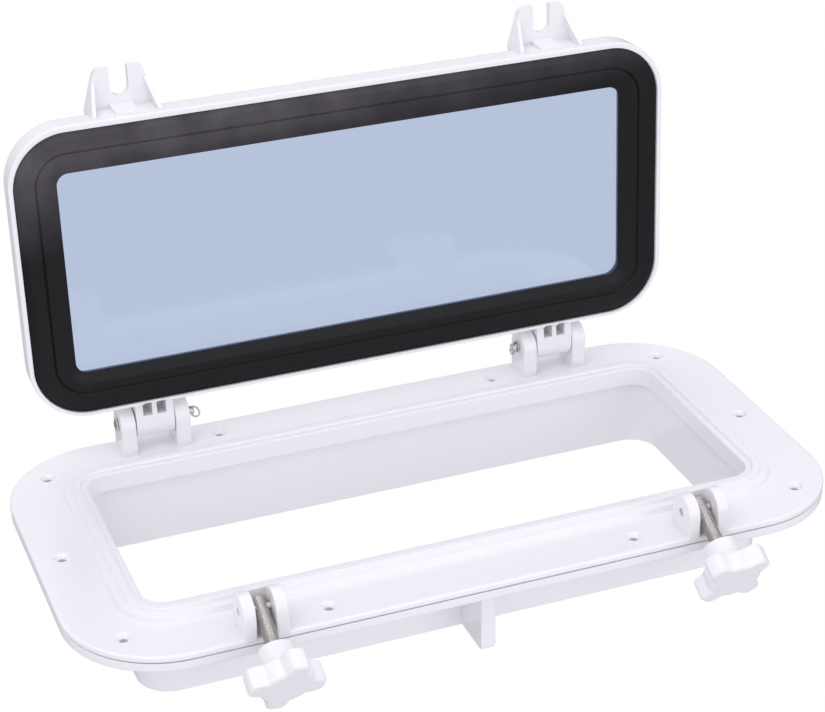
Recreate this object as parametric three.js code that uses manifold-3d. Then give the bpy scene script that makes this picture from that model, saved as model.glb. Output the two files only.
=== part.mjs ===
// Opening deck hatch: moulded frame, glazed lid on two pinned hinges, two swing-bolt clamps.
// Millimetres, +Z up. The sections are drawn about the middle of the opening, with z = 0 on
// the flange's top face, and the last group moves the whole hatch so that it stands on z = 0.
import * as THREE from 'three';
import { mergeVertices } from 'three/addons/utils/BufferGeometryUtils.js';
import Module from 'manifold-3d';

// ---- driving dimensions -------------------------------------------------------------------
const FLANGE_LENGTH = 440;
const FLANGE_WIDTH = 228;
const FLANGE_CORNER = 57;
const FLANGE_THICK = 3.2;
const EDGE_ROUND = 2.2;

const RIM_FOOT = 30;            // distance in from the flange edge to the foot of the rim
const RIM_STEP_HEIGHT = 3.4;
const RIM_HEIGHT = 5.6;
const RIM_INSIDE = 44;
const RIM_SKIRT = 7;            // how far the rim's inner band runs below the flange face
const SPIGOT_OUTSIDE = 37.2;
const SPIGOT_WALL = 3.5;
const SPIGOT_DEPTH = 48;
const SPIGOT_DRAFT = 0.5;

const TRIM_GAP = 0.9;
const TRIM_THICK = 5.2;
const TRIM_EDGE = 0.2;
const TRIM_FIT = 0.4;

const SCREW_HOLE = 4.6;
const TRIM_HOLE = 6.8;
const SCREW_SINK = 9.6;
const SINK_DEPTH = 2.4;
const SCREW_CORNER = [193.2, 86.6];
const SCREW_SIDE = [205, 0];
const SCREW_LONG_EDGE = [87.2, 99.6];

const HINGE_X = 126.2;
const HINGE_Y = 101.8;
const HINGE_Z = 17;
const HINGE_EAR_RADIUS = 10;
const HINGE_EAR_THICK = 8.8;
const HINGE_GAP = 23.6;
const KNUCKLE_WIDTH = 22.6;
const KNUCKLE_RADIUS = 9.4;
const KNUCKLE_CHEEK = 4.4;      // material beside each pocket
const KNUCKLE_RIB = 2.8;
const POCKET_END = 6.6;         // the pockets stop this far short of the pin's axis
const PIN_RADIUS = 2.4;
const PIN_HEAD_RADIUS = 3.9;
const PIN_HEAD_THICK = 1.6;
const PIN_TAIL = 4.4;
const RING_RADIUS = 3.3;
const RING_WIRE = 0.5;
const RING_INSET = 2.1;
const WASHER_RADIUS = 3.7;
const WASHER_THICK = 0.8;
const RUNNING_GAP = 0.3;

const CLAMP_X = 125;
const CLAMP_Y = -104.3;
const CLAMP_Z = 11.6;
const CLAMP_EAR_RADIUS = 10.2;
const CLAMP_EAR_THICK = 6.8;
const CLAMP_GAP = 10.4;
const CLAMP_BACK_TOP = 18;
const CLAMP_PIN_RADIUS = 2;
const CLAMP_PIN_INSET = 0.8;    // the pin's ends lie below the ears' outer faces

const LID_LENGTH = 392;
const LID_WIDTH = 174.4;
const LID_CORNER = 34;
const LID_FACE = 5.9;           // gasket's sealing face when the lid is shut
const LID_LIP = 5.4;
const LID_TOP = 21.6;
const LID_OPEN = 92;            // degrees from shut to the stop
const LID_INNER_SHIFT = 0.9;    // the recess and glazing sit this much nearer the hinges

const GASKET_OUTSIDE = 3.1;
const GASKET_INSIDE = 27.3;
const GASKET_THICK = 2.4;
const GLASS_OUTSIDE = 22.4;
const GLASS_THICK = 5;
const GLASS_FACE = 8.6;
const SEAL_THICK = 1.2;
const SEAL_INSIDE = 24.6;

const LUG_X = 126;
const LUG_TIP_Y = -110.2;
const LUG_TIP_HALF = 14.2;
const LUG_ROOT_HALF = 20;
const LUG_UNDER = 22.8;
const LUG_TOP = 27.6;
const LUG_WEB_HALF = 6.5;
const LUG_FOOT = 8;
const LUG_WALL = 2.4;
const SLOT_HALF = 5.3;
const SLOT_END_Y = -93.6;

const BOLT_RADIUS = 3.9;
const BOLT_LENGTH = 38;
const BOLT_TAIL = 5.6;            // how far the drilled end reaches past the pin
const BOLT_HANG = 118.5;          // degrees from upright to hanging over the flange edge

const KNOB_START = 24;
const KNOB_END = 47.8;
const KNOB_BORE_END = 46.2;     // leaves the bolt room while the knob is screwed down on the lug
const KNOB_DISC = 12.2;
const COLLAR_TOP_RADIUS = 9.2;
const COLLAR_FOOT_RADIUS = 9.8;
const LOBE_COUNT = 4;
const LOBE_TURN = { left: 75, right: 46 };   // degrees that each stored knob is turned
const LOBE_CROWN = 8;           // degrees either side of a lobe's middle at full radius
const LOBE_FLANK = 28;          // degrees from a lobe's middle to the valley
const LOBE_RADIUS = 21;
const VALLEY_RADIUS = 13.5;
const INSERT_RADIUS = 6.3;
const INSERT_LENGTH = 14;
const INSERT_BORE = BOLT_RADIUS + RUNNING_GAP;

const FIN_THICK = 8.4;
const FIN_FRONT_Y = -104.5;

const FOOTPRINT_SHIFT_Y = 18.2; // brings the middle of the outline onto the origin

const CORNER_STEPS = 9;
const ROUND_STEPS = 24;
const degrees = THREE.MathUtils.degToRad;

// ---- materials ----------------------------------------------------------------------------
const plastic = new THREE.MeshStandardMaterial({ color: 0xf3f2f6, roughness: 0.3, metalness: 0 });
const rubber = new THREE.MeshStandardMaterial({ color: 0x1d1d20, roughness: 0.6, metalness: 0 });
const sealant = new THREE.MeshStandardMaterial({ color: 0xdedee2, roughness: 0.6, metalness: 0 });
const steel = new THREE.MeshStandardMaterial({ color: 0xb4aeaa, roughness: 0.3, metalness: 1 });
const glass = new THREE.MeshStandardMaterial({
  color: 0xb0c0dc, roughness: 0.05, metalness: 0, transparent: true, opacity: 0.5,
});

// ---- solids -------------------------------------------------------------------------------
const wasm = await Module();
wasm.setup();

function toSolid(geometry) {
  const bare = geometry.clone();
  bare.deleteAttribute('normal');
  bare.deleteAttribute('uv');
  const merged = mergeVertices(bare, 1e-4);
  return new wasm.Manifold(new wasm.Mesh({
    numProp: 3,
    vertProperties: new Float32Array(merged.attributes.position.array),
    triVerts: new Uint32Array(merged.index.array),
  }));
}

function toGeometry(solid) {
  const mesh = solid.getMesh();
  const geometry = new THREE.BufferGeometry();
  geometry.setAttribute('position', new THREE.BufferAttribute(new Float32Array(mesh.vertProperties), 3));
  geometry.setIndex(new THREE.BufferAttribute(new Uint32Array(mesh.triVerts), 1));
  geometry.computeVertexNormals();
  return geometry;
}

// A rounded rectangle as a loop of [x, y], the same number of points whatever its size.
function roundedLoop(halfLength, halfWidth, corner) {
  const radius = Math.max(corner, 0.6);
  const centres = [[1, 1], [-1, 1], [-1, -1], [1, -1]];
  const loop = [];
  centres.forEach(([sx, sy], quarter) => {
    for (let step = 0; step <= CORNER_STEPS; step += 1) {
      const angle = (quarter + step / CORNER_STEPS) * Math.PI / 2;
      loop.push([
        sx * (halfLength - radius) + radius * Math.cos(angle),
        sy * (halfWidth - radius) + radius * Math.sin(angle),
      ]);
    }
  });
  return loop;
}

// A section of [inset, z, shift] points swept round a rounded rectangle, inset from its outline.
// A point with a shift is moved that far along Y. The section runs anticlockwise when the inset
// is drawn to the left.
function sweptFrame(section, length, width, corner) {
  const loops = section.map(([inset, z, shift = 0]) => {
    const outline = roundedLoop(length / 2 - inset, width / 2 - inset, corner - inset);
    return outline.map(([x, y]) => [x, y + shift, z]);
  });
  const around = loops[0].length;
  const positions = loops.flat(2);
  const index = [];
  for (let ring = 0; ring < loops.length; ring += 1) {
    const next = (ring + 1) % loops.length;
    for (let step = 0; step < around; step += 1) {
      const after = (step + 1) % around;
      const [near, far] = [ring * around, next * around];
      index.push(near + step, near + after, far + after, near + step, far + after, far + step);
    }
  }
  const geometry = new THREE.BufferGeometry();
  geometry.setAttribute('position', new THREE.BufferAttribute(new Float32Array(positions), 3));
  geometry.setIndex(index);
  geometry.computeVertexNormals();
  return geometry;
}

// A flat plate with rounded corners, between two heights.
function plate(length, width, corner, low, high) {
  const outline = roundedLoop(length / 2, width / 2, corner);
  const shape = new THREE.Shape(outline.map(([x, y]) => new THREE.Vector2(x, y)));
  return new THREE.ExtrudeGeometry(shape, { depth: high - low, bevelEnabled: false }).translate(0, 0, low);
}

// An outline of [x, y] points raised from one height to another.
function standing(points, low, high) {
  const shape = new THREE.Shape(points.map(([x, y]) => new THREE.Vector2(x, y)));
  return new THREE.ExtrudeGeometry(shape, { depth: high - low, bevelEnabled: false }).translate(0, 0, low);
}

// An outline of [y, z] points carried along X from one place to another.
function acrossX(points, from, to) {
  const shape = new THREE.Shape(points.map(([y, z]) => new THREE.Vector2(y, z)));
  const turned = new THREE.Matrix4().makeBasis(
    new THREE.Vector3(0, 1, 0), new THREE.Vector3(0, 0, 1), new THREE.Vector3(1, 0, 0),
  );
  return new THREE.ExtrudeGeometry(shape, { depth: to - from, bevelEnabled: false })
    .applyMatrix4(turned).translate(from, 0, 0);
}

function rodAlongX(radius, from, to, y, z, sides = ROUND_STEPS) {
  return new THREE.CylinderGeometry(radius, radius, to - from, sides)
    .rotateZ(Math.PI / 2).translate((from + to) / 2, y, z);
}

function rodAlongZ(radius, low, high, x = 0, y = 0, sides = ROUND_STEPS) {
  return new THREE.CylinderGeometry(radius, radius, high - low, sides)
    .rotateX(Math.PI / 2).translate(x, y, (low + high) / 2);
}

function block(x0, x1, y0, y1, z0, z1) {
  return new THREE.BoxGeometry(x1 - x0, y1 - y0, z1 - z0)
    .translate((x0 + x1) / 2, (y0 + y1) / 2, (z0 + z1) / 2);
}

// Side outline of an ear: a half round about the pin, standing on the flange.
function earOutline(y, z, radius, foot) {
  const points = [[y + radius, foot], [y + radius, z]];
  for (let step = 1; step <= 12; step += 1) {
    const angle = step / 12 * Math.PI;
    points.push([y + radius * Math.cos(angle), z + radius * Math.sin(angle)]);
  }
  points.push([y - radius, foot]);
  return points;
}

function named(name, geometry, material) {
  const mesh = new THREE.Mesh(geometry, material);
  mesh.name = name;
  return mesh;
}

// ---- base frame: flange, rim, spigot, ears and drain rib in one moulding --------------------
function screwPlaces() {
  const places = [];
  for (const sx of [-1, 1]) {
    places.push([sx * SCREW_SIDE[0], SCREW_SIDE[1]]);
    for (const sy of [-1, 1]) {
      places.push([sx * SCREW_CORNER[0], sy * SCREW_CORNER[1]]);
      places.push([sx * SCREW_LONG_EDGE[0], sy * SCREW_LONG_EDGE[1]]);
    }
  }
  return places;
}

function baseFrame() {
  const spigotInside = SPIGOT_OUTSIDE + SPIGOT_WALL;
  const section = [
    [0, -FLANGE_THICK],
    [0, -EDGE_ROUND],
    [EDGE_ROUND * 0.3, -EDGE_ROUND * 0.3],
    [EDGE_ROUND, 0],
    [RIM_FOOT, 0],
    [RIM_FOOT + 1.4, 0.7],
    [RIM_FOOT + 2, RIM_STEP_HEIGHT - 0.6],
    [RIM_FOOT + 2.6, RIM_STEP_HEIGHT],
    [RIM_FOOT + 5.2, RIM_STEP_HEIGHT],
    [RIM_FOOT + 6, RIM_HEIGHT - 0.5],
    [RIM_FOOT + 6.6, RIM_HEIGHT],
    [RIM_FOOT + 9.4, RIM_HEIGHT],
    [RIM_FOOT + 10.2, RIM_HEIGHT - 1.2],
    [RIM_INSIDE - 0.9, RIM_HEIGHT - 1.2],
    [RIM_INSIDE, RIM_HEIGHT - 2.1],
    [RIM_INSIDE, -RIM_SKIRT],
    [spigotInside, -RIM_SKIRT - 1],
    [spigotInside - SPIGOT_DRAFT, -SPIGOT_DEPTH],
    [SPIGOT_OUTSIDE + SPIGOT_DRAFT, -SPIGOT_DEPTH],
    [SPIGOT_OUTSIDE, -FLANGE_THICK],
  ];
  let solid = toSolid(sweptFrame(section, FLANGE_LENGTH, FLANGE_WIDTH, FLANGE_CORNER));
  const foot = -FLANGE_THICK / 2;

  for (const side of [-1, 1]) {
    const hinge = side * HINGE_X;
    for (const hand of [-1, 1]) {
      const inner = hinge + hand * HINGE_GAP / 2;
      const outer = inner + hand * HINGE_EAR_THICK;
      const ear = acrossX(
        earOutline(HINGE_Y, HINGE_Z, HINGE_EAR_RADIUS, foot), Math.min(inner, outer), Math.max(inner, outer),
      );
      solid = solid.add(toSolid(ear));
    }
    const clamp = side * CLAMP_X;
    for (const hand of [-1, 1]) {
      const inner = clamp + hand * CLAMP_GAP / 2;
      const outer = inner + hand * CLAMP_EAR_THICK;
      const ear = acrossX(
        earOutline(CLAMP_Y, CLAMP_Z, CLAMP_EAR_RADIUS, foot), Math.min(inner, outer), Math.max(inner, outer),
      );
      solid = solid.add(toSolid(ear));
    }
    const backWall = CLAMP_Y + CLAMP_EAR_RADIUS;
    solid = solid.add(toSolid(block(
      clamp - CLAMP_GAP / 2 - 1, clamp + CLAMP_GAP / 2 + 1, backWall - 2, backWall, foot, CLAMP_BACK_TOP,
    )));
    const hingeBore = PIN_RADIUS + RUNNING_GAP;
    solid = solid.subtract(toSolid(rodAlongX(hingeBore, hinge - 30, hinge + 30, HINGE_Y, HINGE_Z)));
    const clampBore = CLAMP_PIN_RADIUS + RUNNING_GAP;
    solid = solid.subtract(toSolid(rodAlongX(clampBore, clamp - 20, clamp + 20, CLAMP_Y, CLAMP_Z)));
  }

  const spigotFront = -FLANGE_WIDTH / 2 + SPIGOT_OUTSIDE + 1.5;
  const fin = [
    [spigotFront, -SPIGOT_DEPTH], [FIN_FRONT_Y + 3, -SPIGOT_DEPTH], [FIN_FRONT_Y + 0.8, -SPIGOT_DEPTH + 1],
    [FIN_FRONT_Y, -SPIGOT_DEPTH + 3], [FIN_FRONT_Y, foot], [spigotFront, foot],
  ].reverse();
  solid = solid.add(toSolid(acrossX(fin, -FIN_THICK / 2, FIN_THICK / 2)));

  for (const [x, y] of screwPlaces()) {
    const sink = new THREE.LatheGeometry([
      new THREE.Vector2(0, -FLANGE_THICK - 1), new THREE.Vector2(SCREW_HOLE / 2, -FLANGE_THICK - 1),
      new THREE.Vector2(SCREW_HOLE / 2, -SINK_DEPTH), new THREE.Vector2(SCREW_SINK / 2, 0),
      new THREE.Vector2(SCREW_SINK / 2, 1), new THREE.Vector2(0, 1),
    ], 16).rotateX(Math.PI / 2).translate(x, y, 0);
    solid = solid.subtract(toSolid(sink));
  }
  return toGeometry(solid);
}

// ---- trim ring under the flange ------------------------------------------------------------
function trimRing() {
  const top = -FLANGE_THICK - TRIM_GAP;
  const bottom = top - TRIM_THICK;
  const inside = SPIGOT_OUTSIDE - TRIM_FIT;
  const section = [
    [TRIM_EDGE + 0.8, bottom],
    [TRIM_EDGE, bottom + 0.8],
    [TRIM_EDGE, top],
    [inside, top],
    [inside, bottom],
  ];
  let solid = toSolid(sweptFrame(section, FLANGE_LENGTH, FLANGE_WIDTH, FLANGE_CORNER));
  const spigotFront = -FLANGE_WIDTH / 2 + SPIGOT_OUTSIDE + 1;
  const notchHalf = FIN_THICK / 2 + 0.5;
  solid = solid.subtract(toSolid(block(
    -notchHalf, notchHalf, FIN_FRONT_Y - 0.5, spigotFront, bottom - 1, top + 1,
  )));
  for (const [x, y] of screwPlaces()) {
    solid = solid.subtract(toSolid(rodAlongZ(TRIM_HOLE / 2, bottom - 1, top + 1, x, y, 16)));
  }
  return toGeometry(solid);
}

// ---- lid, drawn shut ------------------------------------------------------------------------
function lidFrame() {
  const seat = LID_FACE + GASKET_THICK + RUNNING_GAP;
  const rebate = GLASS_OUTSIDE - RUNNING_GAP;
  const glassBack = GLASS_FACE + GLASS_THICK + SEAL_THICK + 2 * RUNNING_GAP;
  const shift = LID_INNER_SHIFT;
  const section = [
    [0.7, LID_LIP],
    [0, LID_LIP + 0.7],
    [0.5, LID_TOP - 3.2],
    [1.3, LID_TOP - 1.1],
    [3.4, LID_TOP],
    [SEAL_INSIDE - 6.5, LID_TOP - 0.4],
    [SEAL_INSIDE - 5.4, LID_TOP - 1],
    [SEAL_INSIDE, glassBack + 0.9, shift],
    [SEAL_INSIDE, glassBack, shift],
    [rebate, glassBack, shift],
    [rebate, seat, shift],
    [GASKET_OUTSIDE - RUNNING_GAP, seat, shift],
    [GASKET_OUTSIDE - RUNNING_GAP, LID_LIP, shift],
  ];
  let solid = toSolid(sweptFrame(section, LID_LENGTH, LID_WIDTH, LID_CORNER));
  for (const side of [-1, 1]) {
    solid = solid.add(lidLug(side * LUG_X));
    solid = solid.add(lidKnuckle(side * HINGE_X));
    solid = solid.subtract(knucklePockets(side * HINGE_X));
    const bore = PIN_RADIUS + RUNNING_GAP;
    const reach = KNUCKLE_WIDTH;
    const middle = side * HINGE_X;
    solid = solid.subtract(toSolid(rodAlongX(bore, middle - reach, middle + reach, HINGE_Y, HINGE_Z)));
  }
  return toGeometry(solid);
}

// Forked lug: a slotted plate above the clamp ears. Two side ribs deepen towards the lid and,
// with a middle web, carry the plate from the lid's front wall.
function lidLug(x) {
  const root = -LID_WIDTH / 2;
  const ribFront = -103;
  const side = [
    [root + 1.6, LUG_FOOT], [root - 1.5, LUG_FOOT], [ribFront, LUG_UNDER], [LUG_TIP_Y, LUG_UNDER],
    [LUG_TIP_Y, LUG_TOP - 1], [LUG_TIP_Y + 1, LUG_TOP], [root, LUG_TOP],
    [root + 16, LID_TOP - 0.6], [root + 1.6, LID_TOP - 3],
  ];
  const outline = [
    [x - LUG_ROOT_HALF, root + 20], [x - LUG_ROOT_HALF, root], [x - LUG_TIP_HALF, LUG_TIP_Y + 3],
    [x - LUG_TIP_HALF + 2.4, LUG_TIP_Y], [x + LUG_TIP_HALF - 2.4, LUG_TIP_Y],
    [x + LUG_TIP_HALF, LUG_TIP_Y + 3], [x + LUG_ROOT_HALF, root], [x + LUG_ROOT_HALF, root + 20],
  ];
  let lug = toSolid(acrossX(side, x - 25, x + 25)).intersect(toSolid(standing(outline, 0, LUG_TOP + 1)));
  const hollow = [
    [x - LUG_ROOT_HALF + LUG_WALL, root - 0.4], [x - LUG_TIP_HALF + LUG_WALL, LUG_TIP_Y - 1],
    [x + LUG_TIP_HALF - LUG_WALL, LUG_TIP_Y - 1], [x + LUG_ROOT_HALF - LUG_WALL, root - 0.4],
  ];
  lug = lug.subtract(toSolid(standing(hollow, 0, LUG_UNDER)));
  const web = [
    [root + 1, LUG_FOOT], [root - 1.5, LUG_FOOT], [root - 2.6, LUG_UNDER], [root - 2.6, LUG_UNDER + 1],
    [root + 1, LUG_UNDER + 1],
  ];
  lug = lug.add(toSolid(acrossX(web, x - LUG_WEB_HALF, x + LUG_WEB_HALF)));
  const slotCentre = SLOT_END_Y - SLOT_HALF;
  lug = lug.subtract(toSolid(rodAlongZ(SLOT_HALF, 0, LUG_TOP + 5, x, slotCentre)));
  lug = lug.subtract(toSolid(block(x - SLOT_HALF, x + SLOT_HALF, LUG_TIP_Y - 5, slotCentre, 0, LUG_TOP + 5)));
  return lug;
}

// Hinge knuckle: a barrel carried by a full-width arm, before its pockets are cut.
function lidKnuckle(x) {
  const half = KNUCKLE_WIDTH / 2;
  const edge = LID_WIDTH / 2 - 1.5;
  const arm = [
    [edge, 8.4], [HINGE_Y, HINGE_Z - KNUCKLE_RADIUS + 0.1], [HINGE_Y, HINGE_Z + KNUCKLE_RADIUS - 0.1],
    [edge + 2, LID_TOP + 4], [edge, LID_TOP - 2],
  ];
  const knuckle = toSolid(acrossX(arm, x - half, x + half));
  return knuckle.add(toSolid(rodAlongX(KNUCKLE_RADIUS, x - half, x + half, HINGE_Y, HINGE_Z, 32)));
}

// The two pockets between a knuckle's ribs, cut just into the lid's edge.
function knucklePockets(x) {
  const near = KNUCKLE_RIB / 2;
  const far = KNUCKLE_WIDTH / 2 - KNUCKLE_CHEEK;
  const start = LID_WIDTH / 2 - 1.2;
  const left = toSolid(block(x - far, x - near, start, HINGE_Y - POCKET_END, 0, HINGE_Z + 3));
  return left.add(toSolid(block(x + near, x + far, start, HINGE_Y - POCKET_END, 0, HINGE_Z + 3)));
}

function gasketStrip() {
  const back = LID_FACE + GASKET_THICK;
  const middle = (GASKET_OUTSIDE + GASKET_INSIDE) / 2;
  const section = [
    [GASKET_OUTSIDE + 4, LID_FACE],
    [GASKET_OUTSIDE + 1.2, LID_FACE + 0.3],
    [GASKET_OUTSIDE, LID_FACE + 1],
    [GASKET_OUTSIDE, back],
    [GASKET_INSIDE, back],
    [GASKET_INSIDE, LID_FACE + 1.7],
    [GASKET_INSIDE - 1.6, LID_FACE + 0.8],
    [GASKET_INSIDE - 4.6, LID_FACE],
    [middle + 1, LID_FACE],
    [middle, LID_FACE + 0.8],
    [middle - 1, LID_FACE],
  ];
  return sweptFrame(section, LID_LENGTH, LID_WIDTH, LID_CORNER).translate(0, LID_INNER_SHIFT, 0);
}

function glassPane() {
  const length = LID_LENGTH - 2 * GLASS_OUTSIDE;
  const width = LID_WIDTH - 2 * GLASS_OUTSIDE;
  return plate(length, width, LID_CORNER - GLASS_OUTSIDE, GLASS_FACE, GLASS_FACE + GLASS_THICK)
    .translate(0, LID_INNER_SHIFT, 0);
}

function glazingSeal() {
  const low = GLASS_FACE + GLASS_THICK + RUNNING_GAP;
  const high = low + SEAL_THICK;
  const section = [
    [GLASS_OUTSIDE + 0.3, low],
    [GLASS_OUTSIDE + 0.3, high],
    [SEAL_INSIDE + 0.8, high],
    [SEAL_INSIDE + 0.8, low],
  ];
  return sweptFrame(section, LID_LENGTH, LID_WIDTH, LID_CORNER).translate(0, LID_INNER_SHIFT, 0);
}

// ---- hinge pins, heads outboard, split rings inboard -----------------------------------------
function hingePin(side) {
  const outer = HINGE_GAP / 2 + HINGE_EAR_THICK;
  const headStart = outer + RUNNING_GAP;
  const tailEnd = -outer - PIN_TAIL;
  let pin = toSolid(rodAlongX(PIN_RADIUS, tailEnd, headStart + 0.5, 0, 0));
  pin = pin.add(toSolid(rodAlongX(PIN_HEAD_RADIUS, headStart, headStart + PIN_HEAD_THICK, 0, 0)));
  const mirrored = side < 0 ? toSolid(toGeometry(pin).rotateZ(Math.PI)) : pin;
  return toGeometry(mirrored.subtract(toSolid(ringPath(side, RING_WIRE + RUNNING_GAP))));
}

// The split ring threads the pin's tail and lies in an upright plane, leaning forwards.
function ringPath(side, wire) {
  const hole = HINGE_GAP / 2 + HINGE_EAR_THICK + RING_INSET;
  return new THREE.TorusGeometry(RING_RADIUS, wire, 10, 32)
    .rotateX(Math.PI / 2).translate(RING_RADIUS, 0, 0)
    .rotateZ(side < 0 ? -Math.PI / 4 : -3 * Math.PI / 4)
    .translate(-side * hole, 0, 0);
}

function pinWasher(side) {
  const near = HINGE_GAP / 2 + HINGE_EAR_THICK + RUNNING_GAP;
  const bore = PIN_RADIUS + RUNNING_GAP;
  const disc = toSolid(rodAlongX(WASHER_RADIUS, near, near + WASHER_THICK, 0, 0));
  const ring = toGeometry(disc.subtract(toSolid(rodAlongX(bore, near - 1, near + 2, 0, 0))));
  return side > 0 ? ring.rotateZ(Math.PI) : ring;
}

// ---- swing-bolt clamps, drawn upright about their pivot --------------------------------------
function swingBolt() {
  const rod = new THREE.LatheGeometry([
    new THREE.Vector2(0, -BOLT_TAIL), new THREE.Vector2(BOLT_RADIUS - 1, -BOLT_TAIL),
    new THREE.Vector2(BOLT_RADIUS, 1 - BOLT_TAIL), new THREE.Vector2(BOLT_RADIUS, BOLT_LENGTH - 1),
    new THREE.Vector2(BOLT_RADIUS - 1, BOLT_LENGTH), new THREE.Vector2(0, BOLT_LENGTH),
  ], ROUND_STEPS).rotateX(Math.PI / 2);
  const hole = rodAlongX(CLAMP_PIN_RADIUS + RUNNING_GAP, -8, 8, 0, 0);
  return toGeometry(toSolid(rod).subtract(toSolid(hole)));
}

// Lobes with full crowns and smooth flanks, as a radius that depends on the angle.
function lobeOutline(turn) {
  const steps = 96;
  const pitch = 360 / LOBE_COUNT;
  const points = [];
  for (let step = 0; step < steps; step += 1) {
    const angle = step / steps * 360;
    const fromMiddle = Math.abs((angle % pitch) - pitch / 2);
    const flank = Math.min(1, Math.max(0, (fromMiddle - LOBE_CROWN) / (LOBE_FLANK - LOBE_CROWN)));
    const fall = flank * flank * (3 - 2 * flank);
    const radius = LOBE_RADIUS - (LOBE_RADIUS - VALLEY_RADIUS) * fall;
    const placed = degrees(angle - pitch / 2 + turn);
    points.push([radius * Math.cos(placed), radius * Math.sin(placed)]);
  }
  return points;
}

function starKnob(turn) {
  const discStart = KNOB_END - KNOB_DISC;
  const collar = new THREE.LatheGeometry([
    new THREE.Vector2(0, KNOB_START), new THREE.Vector2(COLLAR_TOP_RADIUS - 0.8, KNOB_START),
    new THREE.Vector2(COLLAR_TOP_RADIUS, KNOB_START + 0.8),
    new THREE.Vector2(COLLAR_FOOT_RADIUS, discStart + 1),
    new THREE.Vector2(0, discStart + 1),
  ], ROUND_STEPS).rotateX(Math.PI / 2);
  let knob = toSolid(collar).add(toSolid(standing(lobeOutline(turn), discStart, KNOB_END)));
  const insertEnd = KNOB_START + INSERT_LENGTH + RUNNING_GAP;
  knob = knob.subtract(toSolid(rodAlongZ(INSERT_RADIUS + RUNNING_GAP, KNOB_START - 1, insertEnd)));
  knob = knob.subtract(toSolid(rodAlongZ(BOLT_RADIUS + RUNNING_GAP, insertEnd - 1, KNOB_BORE_END)));
  return toGeometry(knob);
}

function knobInsert() {
  const sleeve = toSolid(rodAlongZ(INSERT_RADIUS, KNOB_START + 0.4, KNOB_START + INSERT_LENGTH));
  const bore = toSolid(rodAlongZ(INSERT_BORE, KNOB_START - 1, KNOB_START + INSERT_LENGTH + 1));
  return toGeometry(sleeve.subtract(bore));
}

function clampPin() {
  const half = CLAMP_GAP / 2 + CLAMP_EAR_THICK - CLAMP_PIN_INSET;
  return rodAlongX(CLAMP_PIN_RADIUS, -half, half, 0, 0);
}

// ---- assembly -------------------------------------------------------------------------------
const hatch = new THREE.Group();
hatch.position.set(0, FOOTPRINT_SHIFT_Y, SPIGOT_DEPTH);
hatch.add(named('base_frame', baseFrame(), plastic));
hatch.add(named('trim_ring', trimRing(), plastic));

const lidHinge = new THREE.Group();
lidHinge.position.set(0, HINGE_Y, HINGE_Z);
lidHinge.rotation.x = -degrees(LID_OPEN);
const lid = new THREE.Group();
lid.position.set(0, -HINGE_Y, -HINGE_Z);
lid.add(named('lid_frame', lidFrame(), plastic));
lid.add(named('lid_gasket', gasketStrip(), rubber));
lid.add(named('glass_pane', glassPane(), glass));
lid.add(named('glazing_seal', glazingSeal(), sealant));
lidHinge.add(lid);
hatch.add(lidHinge);

for (const [word, side] of [['left', -1], ['right', 1]]) {
  const pin = named(`hinge_pin_${word}`, hingePin(side), steel);
  pin.position.set(side * HINGE_X, HINGE_Y, HINGE_Z);
  hatch.add(pin);

  const washer = named(`hinge_washer_${word}`, pinWasher(side), steel);
  washer.position.copy(pin.position);
  hatch.add(washer);

  const ring = named(`hinge_ring_${word}`, ringPath(side, RING_WIRE), steel);
  ring.position.copy(pin.position);
  hatch.add(ring);

  const crossPin = named(`clamp_pin_${word}`, clampPin(), steel);
  crossPin.position.set(side * CLAMP_X, CLAMP_Y, CLAMP_Z);
  hatch.add(crossPin);

  const swing = new THREE.Group();
  swing.position.set(side * CLAMP_X, CLAMP_Y, CLAMP_Z);
  swing.rotation.x = degrees(BOLT_HANG);
  swing.add(named(`swing_bolt_${word}`, swingBolt(), steel));
  swing.add(named(`knob_${word}`, starKnob(LOBE_TURN[word]), plastic));
  swing.add(named(`knob_insert_${word}`, knobInsert(), steel));
  hatch.add(swing);
}

export default hatch;
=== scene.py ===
"""Looks for the deck hatch: moulded frame, glazed lid, gasket, pinned hinges and swing-bolt clamps.

Shapes are drawn in millimetres about the middle of the opening, z = 0 on the flange's top face.
Lid pieces are drawn shut and then turned open about the hinge pins."""

import math

import bpy
from mathutils import Matrix, Vector


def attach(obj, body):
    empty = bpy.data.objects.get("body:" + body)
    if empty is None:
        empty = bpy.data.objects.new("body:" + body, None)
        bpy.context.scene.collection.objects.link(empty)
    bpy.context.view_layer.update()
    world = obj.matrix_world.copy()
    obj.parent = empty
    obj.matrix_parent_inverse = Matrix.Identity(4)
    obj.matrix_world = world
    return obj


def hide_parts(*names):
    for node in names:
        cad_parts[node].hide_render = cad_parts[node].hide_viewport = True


# ---- dimensions, millimetres ----------------------------------------------------------------
FLANGE = (440.0, 228.0, 57.0)
FLANGE_THICK = 3.2
LID = (392.0, 174.4, 34.0)
LID_TOP = 21.6
LID_INNER_SHIFT = 0.9
LID_OPEN = math.radians(92)
HINGE_X, HINGE_Y, HINGE_Z = 126.2, 101.8, 17.0
HINGE_EAR_RADIUS, HINGE_EAR_THICK, HINGE_GAP = 10.0, 8.8, 23.6
KNUCKLE_HALF, KNUCKLE_RADIUS = 11.3, 9.4
CLAMP_X, CLAMP_Y, CLAMP_Z = 125.0, -104.3, 11.6
CLAMP_EAR_RADIUS, CLAMP_EAR_THICK, CLAMP_GAP = 10.2, 6.8, 10.4
BOLT_HANG = math.radians(118.5)
BOLT_RADIUS, THREAD_PITCH, THREAD_DEPTH = 3.9, 1.25, 0.62
HINGE_PIN_RADIUS, HINGE_BORE = 2.4, 2.7
CLAMP_PIN_RADIUS, CLAMP_BORE = 2.0, 2.3
EAR_FOOT = -1.6                # ears and drain rib start this far inside the flange
SPIGOT_DEPTH = 48.0
SCREW_SIDE_X = 205.0
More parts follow.
